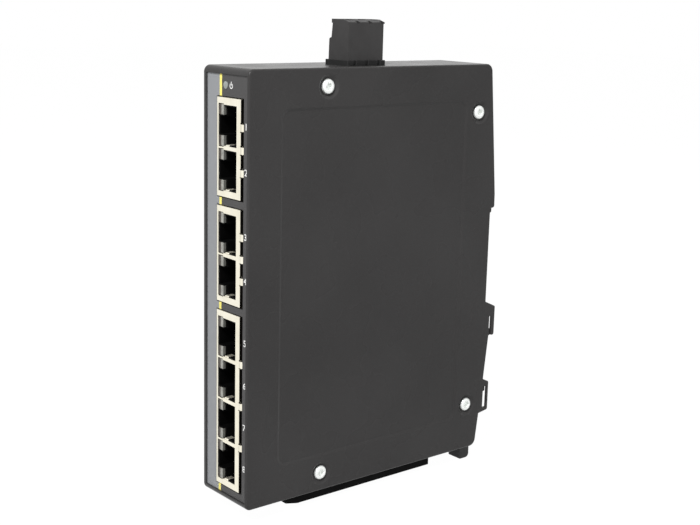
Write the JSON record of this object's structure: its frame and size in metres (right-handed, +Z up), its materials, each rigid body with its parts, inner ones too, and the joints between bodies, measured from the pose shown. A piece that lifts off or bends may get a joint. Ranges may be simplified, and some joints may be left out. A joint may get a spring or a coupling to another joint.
{
  "type": "din rail ethernet switch",
  "caption": "Slim upright network switch for a top-hat rail: shielded sockets down the front, screwed side cover, pull-off power plug on top, sprung latch at the rear.",
  "frame": {"origin": "middle of the seat face that rests on the rail", "axes": "+Z up, front sockets face -Y, +Y into the rail, screwed side cover at +X"},
  "size_m": [0.0255, 0.1122, 0.1613],
  "materials": {
    "housing": "fine powder coat, satin",
    "label": "matt printed film",
    "black_plastic": "moulded, matt",
    "connector_plastic": "moulded, matt",
    "zinc_steel": "bright zinc",
    "spring_steel": "drawn wire",
    "nickel": "nickel-plated sheet",
    "gold": "gold flash",
    "tin": "tin plate",
    "board": "solder mask",
    "ferrite": "sintered",
    "can": "drawn can",
    "ceramic": "glazed",
    "lamp_white": "diffuse lens, off",
    "clear_guide": "clear moulding"
  },
  "bodies": {
    "housing": {"main_shell": "housing", "side_cover": "housing", "cover_screws": "zinc_steel", "front_label": "label", "rail_hook": "black_plastic", "hook_screws": "zinc_steel", "latch_spring": "spring_steel", "underside_strip": "black_plastic", "circuit_board": "board", "board_screws": "zinc_steel", "port_magnetics": "black_plastic", "switch_chip": "black_plastic", "memory_chip": "black_plastic", "clock_crystal": "nickel", "converter_chip": "black_plastic", "supply_inductor": "ferrite", "supply_capacitors": "can", "input_fuse": "ceramic", "status_lamp": "lamp_white", "status_light_guide": "clear_guide", "power_header": "connector_plastic", "header_pins": "tin", "socket_shield_1_2": "nickel", "socket_body_1_2": "black_plastic", "socket_contacts_1_2": "gold", "socket_lamps_1_2": "lamp_white", "socket_shield_3_4": "nickel", "socket_body_3_4": "black_plastic", "socket_contacts_3_4": "gold", "socket_lamps_3_4": "lamp_white", "socket_shield_5_8": "nickel", "socket_body_5_8": "black_plastic", "socket_contacts_5_8": "gold", "socket_lamps_5_8": "lamp_white"},
    "power_plug": {"plug_body": "connector_plastic", "plug_contacts": "tin"},
    "latch": {"rail_latch": "black_plastic"},
    "clamp_screw_1": {"clamp_screw_1": "zinc_steel"},
    "clamp_cage_1": {"clamp_cage_1": "tin"},
    "clamp_screw_2": {"clamp_screw_2": "zinc_steel"},
    "clamp_cage_2": {"clamp_cage_2": "tin"},
    "clamp_screw_3": {"clamp_screw_3": "zinc_steel"},
    "clamp_cage_3": {"clamp_cage_3": "tin"}
  },
  "joints": [
    {"name": "power_plug_pull", "type": "slide", "parent": "housing", "child": "power_plug", "axis": [0, 0, 1], "range_m": [0, 0.012]},
    {"name": "rail_latch_slide", "type": "slide", "parent": "housing", "child": "latch", "axis": [0, 0, -1], "range_m": [0, 0.0026], "stiffness_N_per_m": 1800, "springref_m": -0.003, "deforming": ["latch_spring"]},
    {"name": "clamp_screw_1_turn", "type": "hinge", "parent": "power_plug", "child": "clamp_screw_1", "pos_m": [0, -0.06333, 0.07445], "axis": [1, 0, 0], "range_deg": [0, 1440]},
    {"name": "clamp_cage_1_slide", "type": "slide", "parent": "power_plug", "child": "clamp_cage_1", "axis": [-1, 0, 0], "range_m": [0, 0.0018]},
    {"name": "clamp_screw_2_turn", "type": "hinge", "parent": "power_plug", "child": "clamp_screw_2", "pos_m": [0, -0.05825, 0.07445], "axis": [1, 0, 0], "range_deg": [0, 1440]},
    {"name": "clamp_cage_2_slide", "type": "slide", "parent": "power_plug", "child": "clamp_cage_2", "axis": [-1, 0, 0], "range_m": [0, 0.0018]},
    {"name": "clamp_screw_3_turn", "type": "hinge", "parent": "power_plug", "child": "clamp_screw_3", "pos_m": [0, -0.05317, 0.07445], "axis": [1, 0, 0], "range_deg": [0, 1440]},
    {"name": "clamp_cage_3_slide", "type": "slide", "parent": "power_plug", "child": "clamp_cage_3", "axis": [-1, 0, 0], "range_m": [0, 0.0018]}
  ],
  "couplings": [
    {"joint": "clamp_cage_1_slide", "follows": "clamp_screw_1_turn", "m_per_rad": 0.0000716},
    {"joint": "clamp_cage_2_slide", "follows": "clamp_screw_2_turn", "m_per_rad": 0.0000716},
    {"joint": "clamp_cage_3_slide", "follows": "clamp_screw_3_turn", "m_per_rad": 0.0000716}
  ]
}
